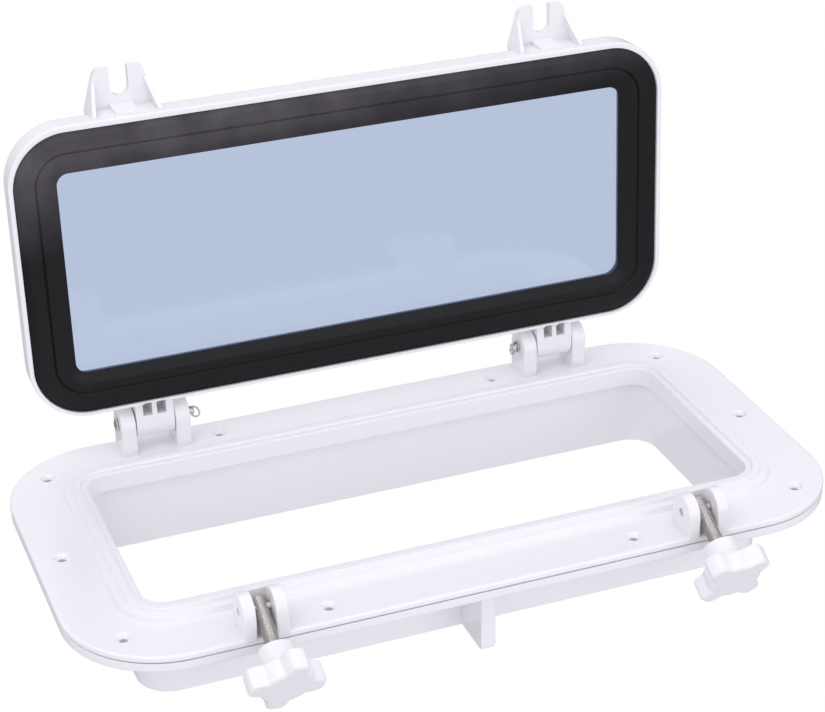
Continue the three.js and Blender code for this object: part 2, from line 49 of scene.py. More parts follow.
SCREW_CORNER = (193.2, 86.6)
SCREW_LONG_EDGE = (87.2, 99.6)
TRIM_GAP, TRIM_BOTTOM, TRIM_HOLE = 0.9, -9.3, 3.4
POCKET_MIDDLE, POCKET_HALF, POCKET_END = 4.15, 2.75, 6.6
PANE_INSET, PANE_LOW, PANE_HIGH = 22.4, 8.6, 13.6
LUG_X, LUG_UNDER, LUG_TOP, LUG_FOOT, LUG_TIP_Y = 126.0, 22.8, 27.6, 8.0, -110.2
LUG_ROOT_HALF, LUG_TIP_HALF, LUG_WEB_HALF = 20.0, 14.2, 6.5
SLOT_HALF, SLOT_END_Y = 5.3, -93.6
BOLT_TAIL, BOLT_END = -5.6, 38.0
KNOB_START, KNOB_DISC, KNOB_END, KNOB_BORE_END = 24.0, 35.6, 47.8, 46.2
LOBE_RADIUS, VALLEY_RADIUS = 21.0, 14.4
LOBE_TURN = {"left": 75.0, "right": 46.0}
FIN_THICK, FIN_FRONT_Y = 8.4, -104.5
GLASS_IOR = 1.49
TO_ROW = Matrix.Translation((0, 0.0182, 0.048)) @ Matrix.Scale(0.001, 4)
OPEN_LID = (Matrix.Translation((0, HINGE_Y, HINGE_Z)) @ Matrix.Rotation(-LID_OPEN, 4, "X")
            @ Matrix.Translation((0, -HINGE_Y, -HINGE_Z)))

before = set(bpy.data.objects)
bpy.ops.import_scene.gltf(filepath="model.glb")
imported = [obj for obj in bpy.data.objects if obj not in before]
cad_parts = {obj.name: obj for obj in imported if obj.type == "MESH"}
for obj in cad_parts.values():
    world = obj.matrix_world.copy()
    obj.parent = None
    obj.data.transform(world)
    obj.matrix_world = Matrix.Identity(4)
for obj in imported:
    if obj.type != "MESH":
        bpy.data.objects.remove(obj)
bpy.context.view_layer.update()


# ---- mesh tools -----------------------------------------------------------------------------
def make(name, verts, faces):
    """A new object, in millimetres, from points and faces."""
    mesh = bpy.data.meshes.new(name)
    mesh.from_pydata([tuple(v) for v in verts], [], [tuple(f) for f in faces])
    mesh.update()
    obj = bpy.data.objects.new(name, mesh)
    bpy.context.scene.collection.objects.link(obj)
    return obj


def bake(obj):
    """Replaces the object's mesh with the result of its modifiers."""
    bpy.context.view_layer.update()
    evaluated = obj.evaluated_get(bpy.context.evaluated_depsgraph_get())
    result = bpy.data.meshes.new_from_object(evaluated)
    old = obj.data
    obj.modifiers.clear()
    obj.data = result
    bpy.data.meshes.remove(old)
    return obj


def combine(obj, others, how):
    """Adds, cuts or intersects other solids, which are used up."""
    for other in others:
        step = obj.modifiers.new(how, "BOOLEAN")
        step.operation = how
        step.solver = "EXACT"
        step.object = other
    bake(obj)
    for other in others:
        bpy.data.objects.remove(other)
    return obj


def ease(obj, width, segments=3, angle=35):
    """Rounds every edge sharper than the angle."""
    weld = obj.modifiers.new("weld", "WELD")
    weld.merge_threshold = 0.01
    step = obj.modifiers.new("ease", "BEVEL")
    step.width = width
    step.segments = segments
    step.limit_method = "ANGLE"
    step.angle_limit = math.radians(angle)
    step.use_clamp_overlap = True
    return bake(obj)


def loop_points(length, width, corner, steps):
    """Points round a rounded rectangle, counter-clockwise from its right-hand side."""
    radius = max(corner, 0.6)
    points = []
    for quarter, (sx, sy) in enumerate(((1, 1), (-1, 1), (-1, -1), (1, -1))):
        for step in range(steps + 1):
            angle = (quarter + step / steps) * math.pi / 2
            points.append((sx * (length / 2 - radius) + radius * math.cos(angle),
                           sy * (width / 2 - radius) + radius * math.sin(angle)))
    return points


def rounded(section, steps=4):
    """Turns [a, b, radius] corners of a closed section into arcs."""
    points = []
    count = len(section)
    for i, (a, b, radius) in enumerate(section):
        here = Vector((a, b))
        back = Vector(section[i - 1][:2]) - here
        ahead = Vector(section[(i + 1) % count][:2]) - here
        if radius <= 0:
            points.append(tuple(here))
            continue
        half = back.angle(ahead) / 2
        reach = min(radius / math.tan(half), back.length * 0.49, ahead.length * 0.49)
        start, end = here + back.normalized() * reach, here + ahead.normalized() * reach
        for step in range(steps + 1):
            t = step / steps
            points.append(tuple(start * (1 - t) ** 2 + here * 2 * t * (1 - t) + end * t ** 2))
    return points


def swept(name, section, outline, steps=28, shift=lambda inset, z: 0.0):
    """A closed section of (inset, z) carried round a rounded rectangle; shifts move its rings along Y."""
    length, width, corner = outline
    rings = [[(x, y + shift(inset, z), z)
              for x, y in loop_points(length - 2 * inset, width - 2 * inset, corner - inset, steps)]
             for inset, z in section]
    around = len(rings[0])
    faces = []
    for ring in range(len(rings)):
        after = (ring + 1) % len(rings)
        for step in range(around):
            side = (step + 1) % around
            near, far = ring * around, after * around
            faces.append((near + step, near + side, far + side, far + step))
    return make(name, [p for ring in rings for p in ring], faces)


def prism(name, outline, low, high, axis="Z"):
    """An outline raised between two heights: (x, y) along Z, or (y, z) along X."""
    area = sum(a[0] * b[1] - b[0] * a[1] for a, b in zip(outline, outline[1:] + outline[:1]))
    if area < 0:
        outline = outline[::-1]
    count = len(outline)
    if axis == "Z":
        verts = [(a, b, low) for a, b in outline] + [(a, b, high) for a, b in outline]
    else:
        verts = [(low, a, b) for a, b in outline] + [(high, a, b) for a, b in outline]
    faces = [tuple(range(count))[::-1], tuple(range(count, 2 * count))]
    faces += [(i, (i + 1) % count, count + (i + 1) % count, count + i) for i in range(count)]
    return make(name, verts, faces)


def turned(name, profile, sides=48, axis="Z", ring=False):
    """A profile of (radius, height) turned about an axis; a ring's profile is closed."""
    verts, rows = [], []
    for radius, height in profile:
        if radius < 1e-6:
            rows.append([len(verts)])
            verts.append((0, 0, height))
            continue
        rows.append(list(range(len(verts), len(verts) + sides)))
        for side in range(sides):
            angle = 2 * math.pi * side / sides
            verts.append((radius * math.cos(angle), radius * math.sin(angle), height))
    pairs = list(zip(rows, rows[1:] + rows[:1])) if ring else list(zip(rows, rows[1:]))
    faces = []
    for low, high in pairs:
        for side in range(sides):
            after = (side + 1) % sides
            if len(low) == 1 and len(high) == 1:
                continue
            if len(low) == 1:
                faces.append((low[0], high[after], high[side]))
            elif len(high) == 1:
                faces.append((low[side], low[after], high[0]))
            else:
                faces.append((low[side], low[after], high[after], high[side]))
    obj = make(name, verts, faces)
    if axis == "X":
        obj.data.transform(Matrix.Rotation(math.pi / 2, 4, "Y"))
    return obj


def moved(obj, x=0.0, y=0.0, z=0.0):
    """Shifts the mesh itself, leaving the object at the origin."""
    obj.data.transform(Matrix.Translation((x, y, z)))
    return obj


def rod(radius, low, high, x=0.0, y=0.0, z=0.0, axis="Z", sides=48):
    profile = [(0, low), (radius, low), (radius, high), (0, high)]
    return moved(turned("rod", profile, sides, axis), x, y, z)


def box(x0, x1, y0, y1, z0, z1):
    return prism("box", [(x0, y0), (x1, y0), (x1, y1), (x0, y1)], z0, z1)


def ear_outline(y, z, radius, steps=28):
    """A hinge or clamp ear seen from the side: a half disc on straight sides."""
    arc = [(y + radius * math.cos(math.pi * i / steps), z + radius * math.sin(math.pi * i / steps))
           for i in range(steps + 1)]
    return [(y + radius, EAR_FOOT)] + arc + [(y - radius, EAR_FOOT)]


def lay(obj, body, material, place=None, sharp=32, nodes=()):
    """Puts a finished piece in the row frame, shades it and lets it ride on its body."""
    obj.data.transform(TO_ROW @ (place or Matrix.Identity(4)))
    obj.data.polygons.foreach_set("use_smooth", [True] * len(obj.data.polygons))
    obj.data.set_sharp_from_angle(angle=math.radians(sharp))
    even = obj.modifiers.new("even", "WEIGHTED_NORMAL")
    even.keep_sharp = True
    even.weight = 60
    bake(obj)
    obj.data.materials.clear()
    obj.data.materials.append(material)
    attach(obj, body)
    if nodes:
        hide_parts(*nodes)
    return obj


# ---- materials ------------------------------------------------------------------------------
def surface(name, colour, rough, metal=0.0):
    """A new material with its node tree and its one surface shader."""
    material = bpy.data.materials.new(name)
    material.use_nodes = True
    tree = material.node_tree
    shader = tree.nodes["Principled BSDF"]
    shader.inputs["Base Color"].default_value = (*colour, 1)
    shader.inputs["Roughness"].default_value = rough
    shader.inputs["Metallic"].default_value = metal
    return material, tree, shader


def noise(tree, scale, detail=3.0):
    """Noise with this many cells to a metre, fixed to the piece."""
    place = tree.nodes.new("ShaderNodeTexCoord")
    grain = tree.nodes.new("ShaderNodeTexNoise")
    grain.inputs["Scale"].default_value = scale
    grain.inputs["Detail"].default_value = detail
    tree.links.new(place.outputs["Object"], grain.inputs["Vector"])
    return grain


def vary(tree, shader, socket, grain, low, high):
    """Lets the noise carry a shader's value between two limits."""
    spread = tree.nodes.new("ShaderNodeMapRange")
    spread.inputs["To Min"].default_value = low
    spread.inputs["To Max"].default_value = high
    tree.links.new(grain.outputs["Fac"], spread.inputs["Value"])
    tree.links.new(spread.outputs["Result"], shader.inputs[socket])


def relief(tree, shader, grain, distance, strength=0.3):
    bump = tree.nodes.new("ShaderNodeBump")
    bump.inputs["Distance"].default_value = distance
    bump.inputs["Strength"].default_value = strength
    tree.links.new(grain.outputs["Fac"], bump.inputs["Height"])
    tree.links.new(bump.outputs["Normal"], shader.inputs["Normal"])


def white_plastic():
    material, tree, shader = surface("white_abs", (0.87, 0.868, 0.885), 0.26)
    vary(tree, shader, "Roughness", noise(tree, 25), 0.28, 0.33)
    relief(tree, shader, noise(tree, 700, 1), 0.00005, 0.05)
    shader.inputs["Coat Weight"].default_value = 0.25
    shader.inputs["Coat Roughness"].default_value = 0.12
    return material


def black_rubber():
    """Black rubber with a painted sheen: lighter along its upper run, in patches from noise."""
    material, tree, shader = surface("gasket_rubber", (0.0065, 0.006, 0.0075), 0.5)
    # painted sheen: with height the rubber is mixed towards a lighter grey, in noisy patches, standing in for
    # light falling on the ring's upper run
    slope = tree.nodes.new("ShaderNodeVectorMath")
    slope.operation = "DOT_PRODUCT"
    slope.inputs[1].default_value = (-0.15, 0, 1)
    painted_sheen_ramp = tree.nodes.new("ShaderNodeMapRange")
    painted_sheen_patches = tree.nodes.new("ShaderNodeMath")
    painted_sheen_patches.operation = "MULTIPLY"
    blend = tree.nodes.new("ShaderNodeMix")
    blend.data_type = "RGBA"
    blend.inputs[6].default_value = (0.0065, 0.006, 0.0075, 1)
    blend.inputs[7].default_value = (0.09, 0.082, 0.094, 1)
    for socket, value in (("From Min", 0.206), ("From Max", 0.256), ("To Min", 0.0), ("To Max", 1.42)):
        painted_sheen_ramp.inputs[socket].default_value = value
    cloud = noise(tree, 35, 4)
    tree.links.new(tree.nodes.new("ShaderNodeTexCoord").outputs["Object"], slope.inputs[0])
    tree.links.new(slope.outputs["Value"], painted_sheen_ramp.inputs["Value"])
    tree.links.new(painted_sheen_ramp.outputs["Result"], painted_sheen_patches.inputs[0])
    tree.links.new(cloud.outputs["Fac"], painted_sheen_patches.inputs[1])
    tree.links.new(painted_sheen_patches.outputs["Value"], blend.inputs["Factor"])
    tree.links.new(blend.outputs[2], shader.inputs["Base Color"])
    vary(tree, shader, "Roughness", noise(tree, 220), 0.36, 0.5)
    shader.inputs["Specular IOR Level"].default_value = 0.28
    relief(tree, shader, noise(tree, 2600, 4), 0.0002, 0.35)
    return material


def pale_sealant():
    material, tree, shader = surface("glazing_sealant", (0.62, 0.62, 0.65), 0.5)
    vary(tree, shader, "Roughness", noise(tree, 150), 0.4, 0.6)
    relief(tree, shader, noise(tree, 1200, 3), 0.0001, 0.2)
    return material


def stainless():
    material, tree, shader = surface("stainless_steel", (0.68, 0.65, 0.63), 0.3, 1.0)
    vary(tree, shader, "Roughness", noise(tree, 500), 0.28, 0.34)
    relief(tree, shader, noise(tree, 3000, 2), 0.00005, 0.2)
    return material


def tinted_glass():
    """Tinted pane. The index is turned over on back faces, where light leaves unbent."""
    material, tree, shader = surface("tinted_glass", (0.7, 0.78, 0.9), 0.03)
    tree.nodes.remove(shader)
    output = tree.nodes["Material Output"]
    through = tree.nodes.new("ShaderNodeBsdfTransparent")
    through.inputs["Color"].default_value = (0.702, 0.757, 0.862, 1)
    mirror = tree.nodes.new("ShaderNodeBsdfGlossy")
    mirror.inputs["Color"].default_value = (1, 1, 1, 1)
    vary(tree, mirror, "Roughness", noise(tree, 12), 0.01, 0.04)
    share = tree.nodes.new("ShaderNodeFresnel")
    facing = tree.nodes.new("ShaderNodeMapRange")
    for socket, value in (("To Min", GLASS_IOR), ("To Max", 1 / GLASS_IOR)):
        facing.inputs[socket].default_value = value
    tree.links.new(tree.nodes.new("ShaderNodeNewGeometry").outputs["Backfacing"], facing.inputs["Value"])
    tree.links.new(facing.outputs["Result"], share.inputs["IOR"])
    mix = tree.nodes.new("ShaderNodeMixShader")
    tree.links.new(share.outputs["Fac"], mix.inputs["Fac"])
    tree.links.new(through.outputs["BSDF"], mix.inputs[1])
    tree.links.new(mirror.outputs["BSDF"], mix.inputs[2])
    tree.links.new(mix.outputs["Shader"], output.inputs["Surface"])
    return material


PLASTIC = white_plastic()
RUBBER = black_rubber()
SEALANT = pale_sealant()
STEEL = stainless()
GLASS = tinted_glass()


# ---- base frame and trim ring -----------------------------------------------------------------
def screw_places():
    places = []
    for sx in (-1, 1):
        places.append((sx * SCREW_SIDE_X, 0.0))
        for sy in (-1, 1):
            for x, y in (SCREW_CORNER, SCREW_LONG_EDGE):
                places.append((sx * x, sy * y))
    return places


def ear(y, z, radius, inner, thick):
    """An ear whose thickness runs outward along X from its inner face."""
    outline = ear_outline(y, z, radius)
    return ease(prism("ear", outline, min(inner, inner + thick), max(inner, inner + thick), "X"), 0.9)


def drain_rib():
    """The rib under the flange's front edge, with its lower front corner cut away."""
    back, bottom, front = -FLANGE[1] / 2 + 38.7, -SPIGOT_DEPTH, FIN_FRONT_Y
    outline = [(back, bottom), (front + 3, bottom), (front + 0.9, bottom + 0.9), (front, bottom + 3),
               (front, EAR_FOOT), (back, EAR_FOOT)]
    return ease(prism("fin", outline, -FIN_THICK / 2, FIN_THICK / 2, "X"), 0.8)


def base_frame():
    """Flange, stepped rim and spigot in one section, with the ears, clamp backs and drain rib."""
    section = rounded([
        (0, -FLANGE_THICK, 0.4), (0, 0, 2.2), (30, 0, 0.8), (31.4, 3.4, 0.9), (35.2, 3.4, 0.6),
        (35.9, 5.6, 0.8), (39.9, 5.6, 0.8), (40.4, 4.4, 0.4), (44, 4.4, 1.1), (44, -7, 0.8),
        (40.7, -7.6, 0.5), (40.2, -SPIGOT_DEPTH, 0.8), (37.7, -SPIGOT_DEPTH, 0.8), (37.2, -FLANGE_THICK, 0.4),
    ])
    body = swept("base_frame_look", section, FLANGE)
    solids = []
    for side in (-1, 1):
        for hand in (-1, 1):
            hinge_face = side * HINGE_X + hand * HINGE_GAP / 2
            clamp_face = side * CLAMP_X + hand * CLAMP_GAP / 2
            solids.append(ear(HINGE_Y, HINGE_Z, HINGE_EAR_RADIUS, hinge_face, hand * HINGE_EAR_THICK))
            solids.append(ear(CLAMP_Y, CLAMP_Z, CLAMP_EAR_RADIUS, clamp_face, hand * CLAMP_EAR_THICK))
        middle, back = side * CLAMP_X, CLAMP_Y + CLAMP_EAR_RADIUS
        solids.append(ease(box(middle - 6.2, middle + 6.2, back - 2, back - 0.1, EAR_FOOT, 18), 0.4))
    solids.append(drain_rib())
    combine(body, solids, "UNION")
    cuts = []
    for x, y in screw_places():
        sink = rounded([(0, -5, 0), (2.3, -5, 0), (2.3, -2.4, 0), (4.8, 0.05, 0.35), (5.6, 0.4, 0),
                        (5.6, 2, 0), (0, 2, 0)])
        cuts.append(moved(turned("sink", sink, 40), x, y))
    for side in (-1, 1):
        hinge, clamp = side * HINGE_X, side * CLAMP_X
        cuts.append(rod(HINGE_BORE, hinge - 30, hinge + 30, y=HINGE_Y, z=HINGE_Z, axis="X"))
        cuts.append(rod(CLAMP_BORE, clamp - 20, clamp + 20, y=CLAMP_Y, z=CLAMP_Z, axis="X"))
    combine(body, cuts, "DIFFERENCE")
    return lay(body, "base", PLASTIC, nodes=["base_frame"])


def trim_ring():
    """Flat ring under the flange, notched for the drain rib and holed for the screws."""
    top, bottom = -FLANGE_THICK - TRIM_GAP, TRIM_BOTTOM
    section = rounded([(0.2, bottom, 1.3), (0.2, top, 0.5), (36.8, top, 0.3), (36.8, bottom, 0.6)])
    ring = swept("trim_ring_look", section, FLANGE)
    cuts = [box(-4.7, 4.7, FIN_FRONT_Y - 0.5, -FLANGE[1] / 2 + 38.2, bottom - 1, top + 1)]
    cuts += [rod(TRIM_HOLE, bottom - 1, top + 1, x, y, sides=32) for x, y in screw_places()]
    combine(ring, cuts, "DIFFERENCE")
    return lay(ring, "base", PLASTIC, nodes=["trim_ring"])


# ---- lid ----------------------------------------------------------------------------------
def lug(x):
    """Slotted plate above the clamp ears, on two side ribs and a middle web."""
    root = -LID[1] / 2
    side = [(root + 1.6, LUG_FOOT), (root - 1.5, LUG_FOOT), (-103, LUG_UNDER), (LUG_TIP_Y, LUG_UNDER),
            (LUG_TIP_Y, LUG_TOP - 1), (LUG_TIP_Y + 1, LUG_TOP), (root, LUG_TOP), (root + 16, LID_TOP - 0.6),
            (root + 1.6, LID_TOP - 3)]
    wide, tip, inner = LUG_ROOT_HALF, LUG_TIP_HALF, LUG_TIP_HALF - 2.4
    right = [(inner, LUG_TIP_Y), (tip, LUG_TIP_Y + 3), (wide, root), (wide, root + 20)]
    plan = [(x - across, y) for across, y in right[::-1]] + [(x + across, y) for across, y in right]
    piece = prism("lug", side, x - 25, x + 25, "X")
    combine(piece, [prism("plan", plan, 0, LUG_TOP + 1)], "INTERSECT")
    hollow = [(x - wide + 2.4, root - 0.4), (x - inner, LUG_TIP_Y - 1), (x + inner, LUG_TIP_Y - 1),
              (x + wide - 2.4, root - 0.4)]
    combine(piece, [prism("hollow", hollow, 0, LUG_UNDER + 0.04)], "DIFFERENCE")
    web = [(root + 1, LUG_FOOT), (root - 1.5, LUG_FOOT), (root - 2.6, LUG_UNDER), (root - 2.6, LUG_UNDER + 1),
           (root + 1, LUG_UNDER + 1)]
    combine(piece, [prism("web", web, x - LUG_WEB_HALF, x + LUG_WEB_HALF, "X")], "UNION")
    centre = SLOT_END_Y - SLOT_HALF
    slot = [(x + SLOT_HALF, LUG_TIP_Y - 5)]
    for i in range(21):
        angle = math.pi * i / 20
        slot.append((x + SLOT_HALF * math.cos(angle), centre + SLOT_HALF * math.sin(angle)))
    slot.append((x - SLOT_HALF, LUG_TIP_Y - 5))
    combine(piece, [prism("slot", slot, 0, LUG_TOP + 5)], "DIFFERENCE")
    return ease(piece, 0.5, 2)


def knuckle(x):
    """Hinge barrel on an arm that runs out of the lid's edge."""
    edge = LID[1] / 2 - 1.5
    reach = KNUCKLE_RADIUS - 0.02
    arm = [(edge, 8.4), (HINGE_Y, HINGE_Z - reach), (HINGE_Y, HINGE_Z + reach), (edge + 2, LID_TOP + 4),
           (edge, LID_TOP - 2)]
    piece = prism("knuckle", arm, x - KNUCKLE_HALF, x + KNUCKLE_HALF, "X")
    ends = (x - KNUCKLE_HALF, x + KNUCKLE_HALF)
    barrel = rod(KNUCKLE_RADIUS, *ends, y=HINGE_Y, z=HINGE_Z, axis="X", sides=64)
    combine(piece, [barrel], "UNION")
    return ease(piece, 0.5, 2)


def lid_frame():
    """The lid's moulding, with its lugs and its knuckles, bored and pocketed."""
    section = rounded([
        (0.1, 5.4, 1.0), (0.4, LID_TOP, 3.0), (18.4, LID_TOP - 0.4, 0.8), (24.6, 16.3, 0.4),
        (24.6, 15.4, 0.2), (22.1, 15.4, 0.2), (22.1, 8.6, 0.3), (2.8, 8.6, 0.3), (2.8, 5.4, 0.9),
    ])

    def recess(inset, z):
        """The recess for the glazing sits a little nearer the hinges than the outside does."""
        inside = inset > 18.4 and z < LID_TOP - 0.8 or inset > 2.2 and z < 8.7
        return LID_INNER_SHIFT if inside else 0.0

    body = swept("lid_frame_look", section, LID, shift=recess)
    solids = [lug(side * LUG_X) for side in (-1, 1)]
    solids += [knuckle(side * HINGE_X) for side in (-1, 1)]
    combine(body, solids, "UNION")
    cuts = []
    for middle in (-HINGE_X, HINGE_X):
        cuts.append(rod(HINGE_BORE, middle - 15, middle + 15, y=HINGE_Y, z=HINGE_Z, axis="X"))
    for middle in (-HINGE_X, HINGE_X):
        for hand in (-POCKET_MIDDLE, POCKET_MIDDLE):
            x0, x1 = middle + hand - POCKET_HALF, middle + hand + POCKET_HALF
            cuts.append(box(x0, x1, LID[1] / 2 - 1.2, HINGE_Y - POCKET_END, 0, HINGE_Z + 3))
    combine(body, cuts, "DIFFERENCE")
    return lay(body, "lid", PLASTIC, OPEN_LID, nodes=["lid_frame"])


def gasket():
    """Flat rubber ring with eased edges and a narrow groove."""
    section = rounded([
        (3.1, 8.3, 0.2), (3.1, 6.9, 0.7), (7.1, 5.9, 2.6), (14.4, 5.9, 0.4), (15.0, 6.7, 0.2),
        (15.3, 6.7, 0.2), (15.9, 5.9, 0.4), (20.8, 5.9, 4.0), (27.0, 8.1, 0.2), (27.3, 8.3, 0.05),
    ][::-1])
    ring = moved(swept("gasket_look", section, LID), y=LID_INNER_SHIFT)
    return lay(ring, "lid", RUBBER, OPEN_LID, nodes=["lid_gasket"])


def pane():
    """Glass with a half-millimetre bevel round both faces."""
    rings = [(0.5, PANE_LOW), (0, PANE_LOW + 0.5), (0, PANE_HIGH - 0.5), (0.5, PANE_HIGH)]
    length, width, corner = LID[0] - 2 * PANE_INSET, LID[1] - 2 * PANE_INSET, LID[2] - PANE_INSET
    verts = []
    for eased, z in rings:
        outline = loop_points(length - 2 * eased, width - 2 * eased, corner - eased, 20)
        verts += [(x, y, z) for x, y in outline]
    count = len(verts) // len(rings)
    faces = [tuple(range(count))[::-1], tuple(range(3 * count, 4 * count))]
    for ring in range(3):
        for i in range(count):
            after = (i + 1) % count
            near, far = ring * count, (ring + 1) * count
            faces.append((near + i, near + after, far + after, far + i))
    glass = moved(make("glass_pane_look", verts, faces), y=LID_INNER_SHIFT)
    return lay(glass, "lid", GLASS, OPEN_LID, nodes=["glass_pane"])


def glazing_seal():
    """Thin ring that holds the glass in from the outer side."""
    section = rounded([(22.7, 13.9, 0.2), (22.7, 15.1, 0.2), (25.4, 15.1, 0.5), (25.4, 13.9, 0.5)])
    ring = moved(swept("glazing_seal_look", section, LID), y=LID_INNER_SHIFT)
    return lay(ring, "lid", SEALANT, OPEN_LID, nodes=["glazing_seal"])


# ---- hinge hardware -------------------------------------------------------------------------
def hinge_pin(word, side):
    """Pin with a domed head outboard and a drilled tail for the split ring."""
    outer = HINGE_GAP / 2 + HINGE_EAR_THICK
    head, tail = outer + 0.3, -outer - 4.4
    profile = rounded([(0, tail, 0), (HINGE_PIN_RADIUS, tail, 0.7), (HINGE_PIN_RADIUS, head, 0.15),
                       (3.9, head, 0.2), (3.9, head + 0.9, 0.7), (2.2, head + 1.55, 0.9), (0, head + 1.6, 0)])
    pin = turned(f"hinge_pin_{word}_look", profile, 56, "X")
    hole = moved(rod(0.8, -5, 5, sides=24), -outer - 2.1)
    combine(pin, [hole], "DIFFERENCE")
    if side < 0:
        pin.data.transform(Matrix.Rotation(math.pi, 4, "Z"))
    moved(pin, side * HINGE_X, HINGE_Y, HINGE_Z)
    lay(pin, "base", STEEL, nodes=[f"hinge_pin_{word}"])


def hinge_washer(word, side):
    """Washer between the inboard ear and the split ring."""
    near = HINGE_GAP / 2 + HINGE_EAR_THICK + 0.3
    far = near + 0.8
    profile = rounded([(2.7, near, 0.15), (3.7, near, 0.25), (3.7, far, 0.25), (2.7, far, 0.15)])
    washer = turned(f"hinge_washer_{word}_look", profile, 56, "X", ring=True)
    if side > 0:
        washer.data.transform(Matrix.Rotation(math.pi, 4, "Z"))
    moved(washer, side * HINGE_X, HINGE_Y, HINGE_Z)
    lay(washer, "base", STEEL, nodes=[f"hinge_washer_{word}"])


def split_ring(word, side):
    """Two close turns of wire through the pin's tail."""
    wire, radius, turns, sides = 0.42, 3.3, 1.9, 12
    steps = 110
    verts = []
    for step in range(steps + 1):
        t = step / steps
        angle = 2 * math.pi * turns * t
        lift = (t - 0.5) * 0.8
        for side_step in range(sides):
            turn = 2 * math.pi * side_step / sides
            reach = radius + wire * math.cos(turn)
            verts.append((radius + reach * math.cos(angle), lift + wire * math.sin(turn),
                          reach * math.sin(angle)))
    faces = [tuple(range(sides)), tuple(range(steps * sides, (steps + 1) * sides))[::-1]]
    for step in range(steps):
        for i in range(sides):
            after = (i + 1) % sides
            near, far = step * sides, (step + 1) * sides
            faces.append((near + i, far + i, far + after, near + after))
    ring = make(f"hinge_ring_{word}_look", verts, faces)
    ring.data.transform(Matrix.Rotation(-math.pi / 4 if side < 0 else -3 * math.pi / 4, 4, "Z"))
    hole = HINGE_X - HINGE_GAP / 2 - HINGE_EAR_THICK - 2.1
    moved(ring, side * hole, HINGE_Y, HINGE_Z)
    lay(ring, "base", STEEL, nodes=[f"hinge_ring_{word}"])


# ---- clamps -----------------------------------------------------------------------------------
def clamp_place(side):
    """From a bolt standing on its own pin to the bolt hanging at its clamp."""
    return Matrix.Translation((side * CLAMP_X, CLAMP_Y, CLAMP_Z)) @ Matrix.Rotation(BOLT_HANG, 4, "X")


def clamp_pin(word, side):
    """Plain pin whose ends lie below the ears' outer faces."""
    half = CLAMP_GAP / 2 + CLAMP_EAR_THICK - 0.8
    profile = rounded([(0, -half, 0), (CLAMP_PIN_RADIUS, -half, 0.4), (CLAMP_PIN_RADIUS, half, 0.4),
                       (0, half, 0)])
    pin = moved(turned(f"clamp_pin_{word}_look", profile, 48, "X"), side * CLAMP_X, CLAMP_Y, CLAMP_Z)
    lay(pin, "base", STEEL, nodes=[f"clamp_pin_{word}"])


def threaded(name, start, end):
    """Threaded rod with both ends eased, as rings whose radius follows the helix."""
    sides, per_turn = 40, 14
    count = int((end - start) / THREAD_PITCH * per_turn)
    rows = []
    for k in range(count + 1):
        z = start + (end - start) * k / count
        row = []
        for side in range(sides):
            phase = (z / THREAD_PITCH - side / sides) % 1.0
            ridge = min(1.0, max(0.0, 1.25 * (1 - abs(2 * phase - 1)) - 0.12))
            radius = BOLT_RADIUS - THREAD_DEPTH * (1 - ridge)
            radius = min(radius, BOLT_RADIUS - max(0.0, z - end + 1, start + 1 - z))
            angle = 2 * math.pi * side / sides
            row.append((radius * math.cos(angle), radius * math.sin(angle), z))
        rows.append(row)
    verts = [p for row in rows for p in row]
    faces = [tuple(range(sides))[::-1], tuple(range(count * sides, (count + 1) * sides))]
    for k in range(count):
        for i in range(sides):
            after = (i + 1) % sides
            near, far = k * sides, (k + 1) * sides
            faces.append((near + i, near + after, far + after, far + i))
    return make(name, verts, faces)


def swing_bolt(word, side):
    """A threaded rod, drilled across near its end for the clamp pin."""
    bolt = threaded(f"swing_bolt_{word}_look", BOLT_TAIL, BOLT_END)
    combine(bolt, [rod(CLAMP_BORE, -8, 8, axis="X")], "DIFFERENCE")
    lay(bolt, f"bolt_{word}", STEEL, clamp_place(side), 40, nodes=[f"swing_bolt_{word}"])


def lobe_fall(angle):
    """How far the knob's edge has fallen from a lobe's crown (0) to the valley (1)."""
    flank = min(1.0, max(0.0, (abs(angle % 90 - 45) - 8) / 20))
    return flank * flank * (3 - 2 * flank)


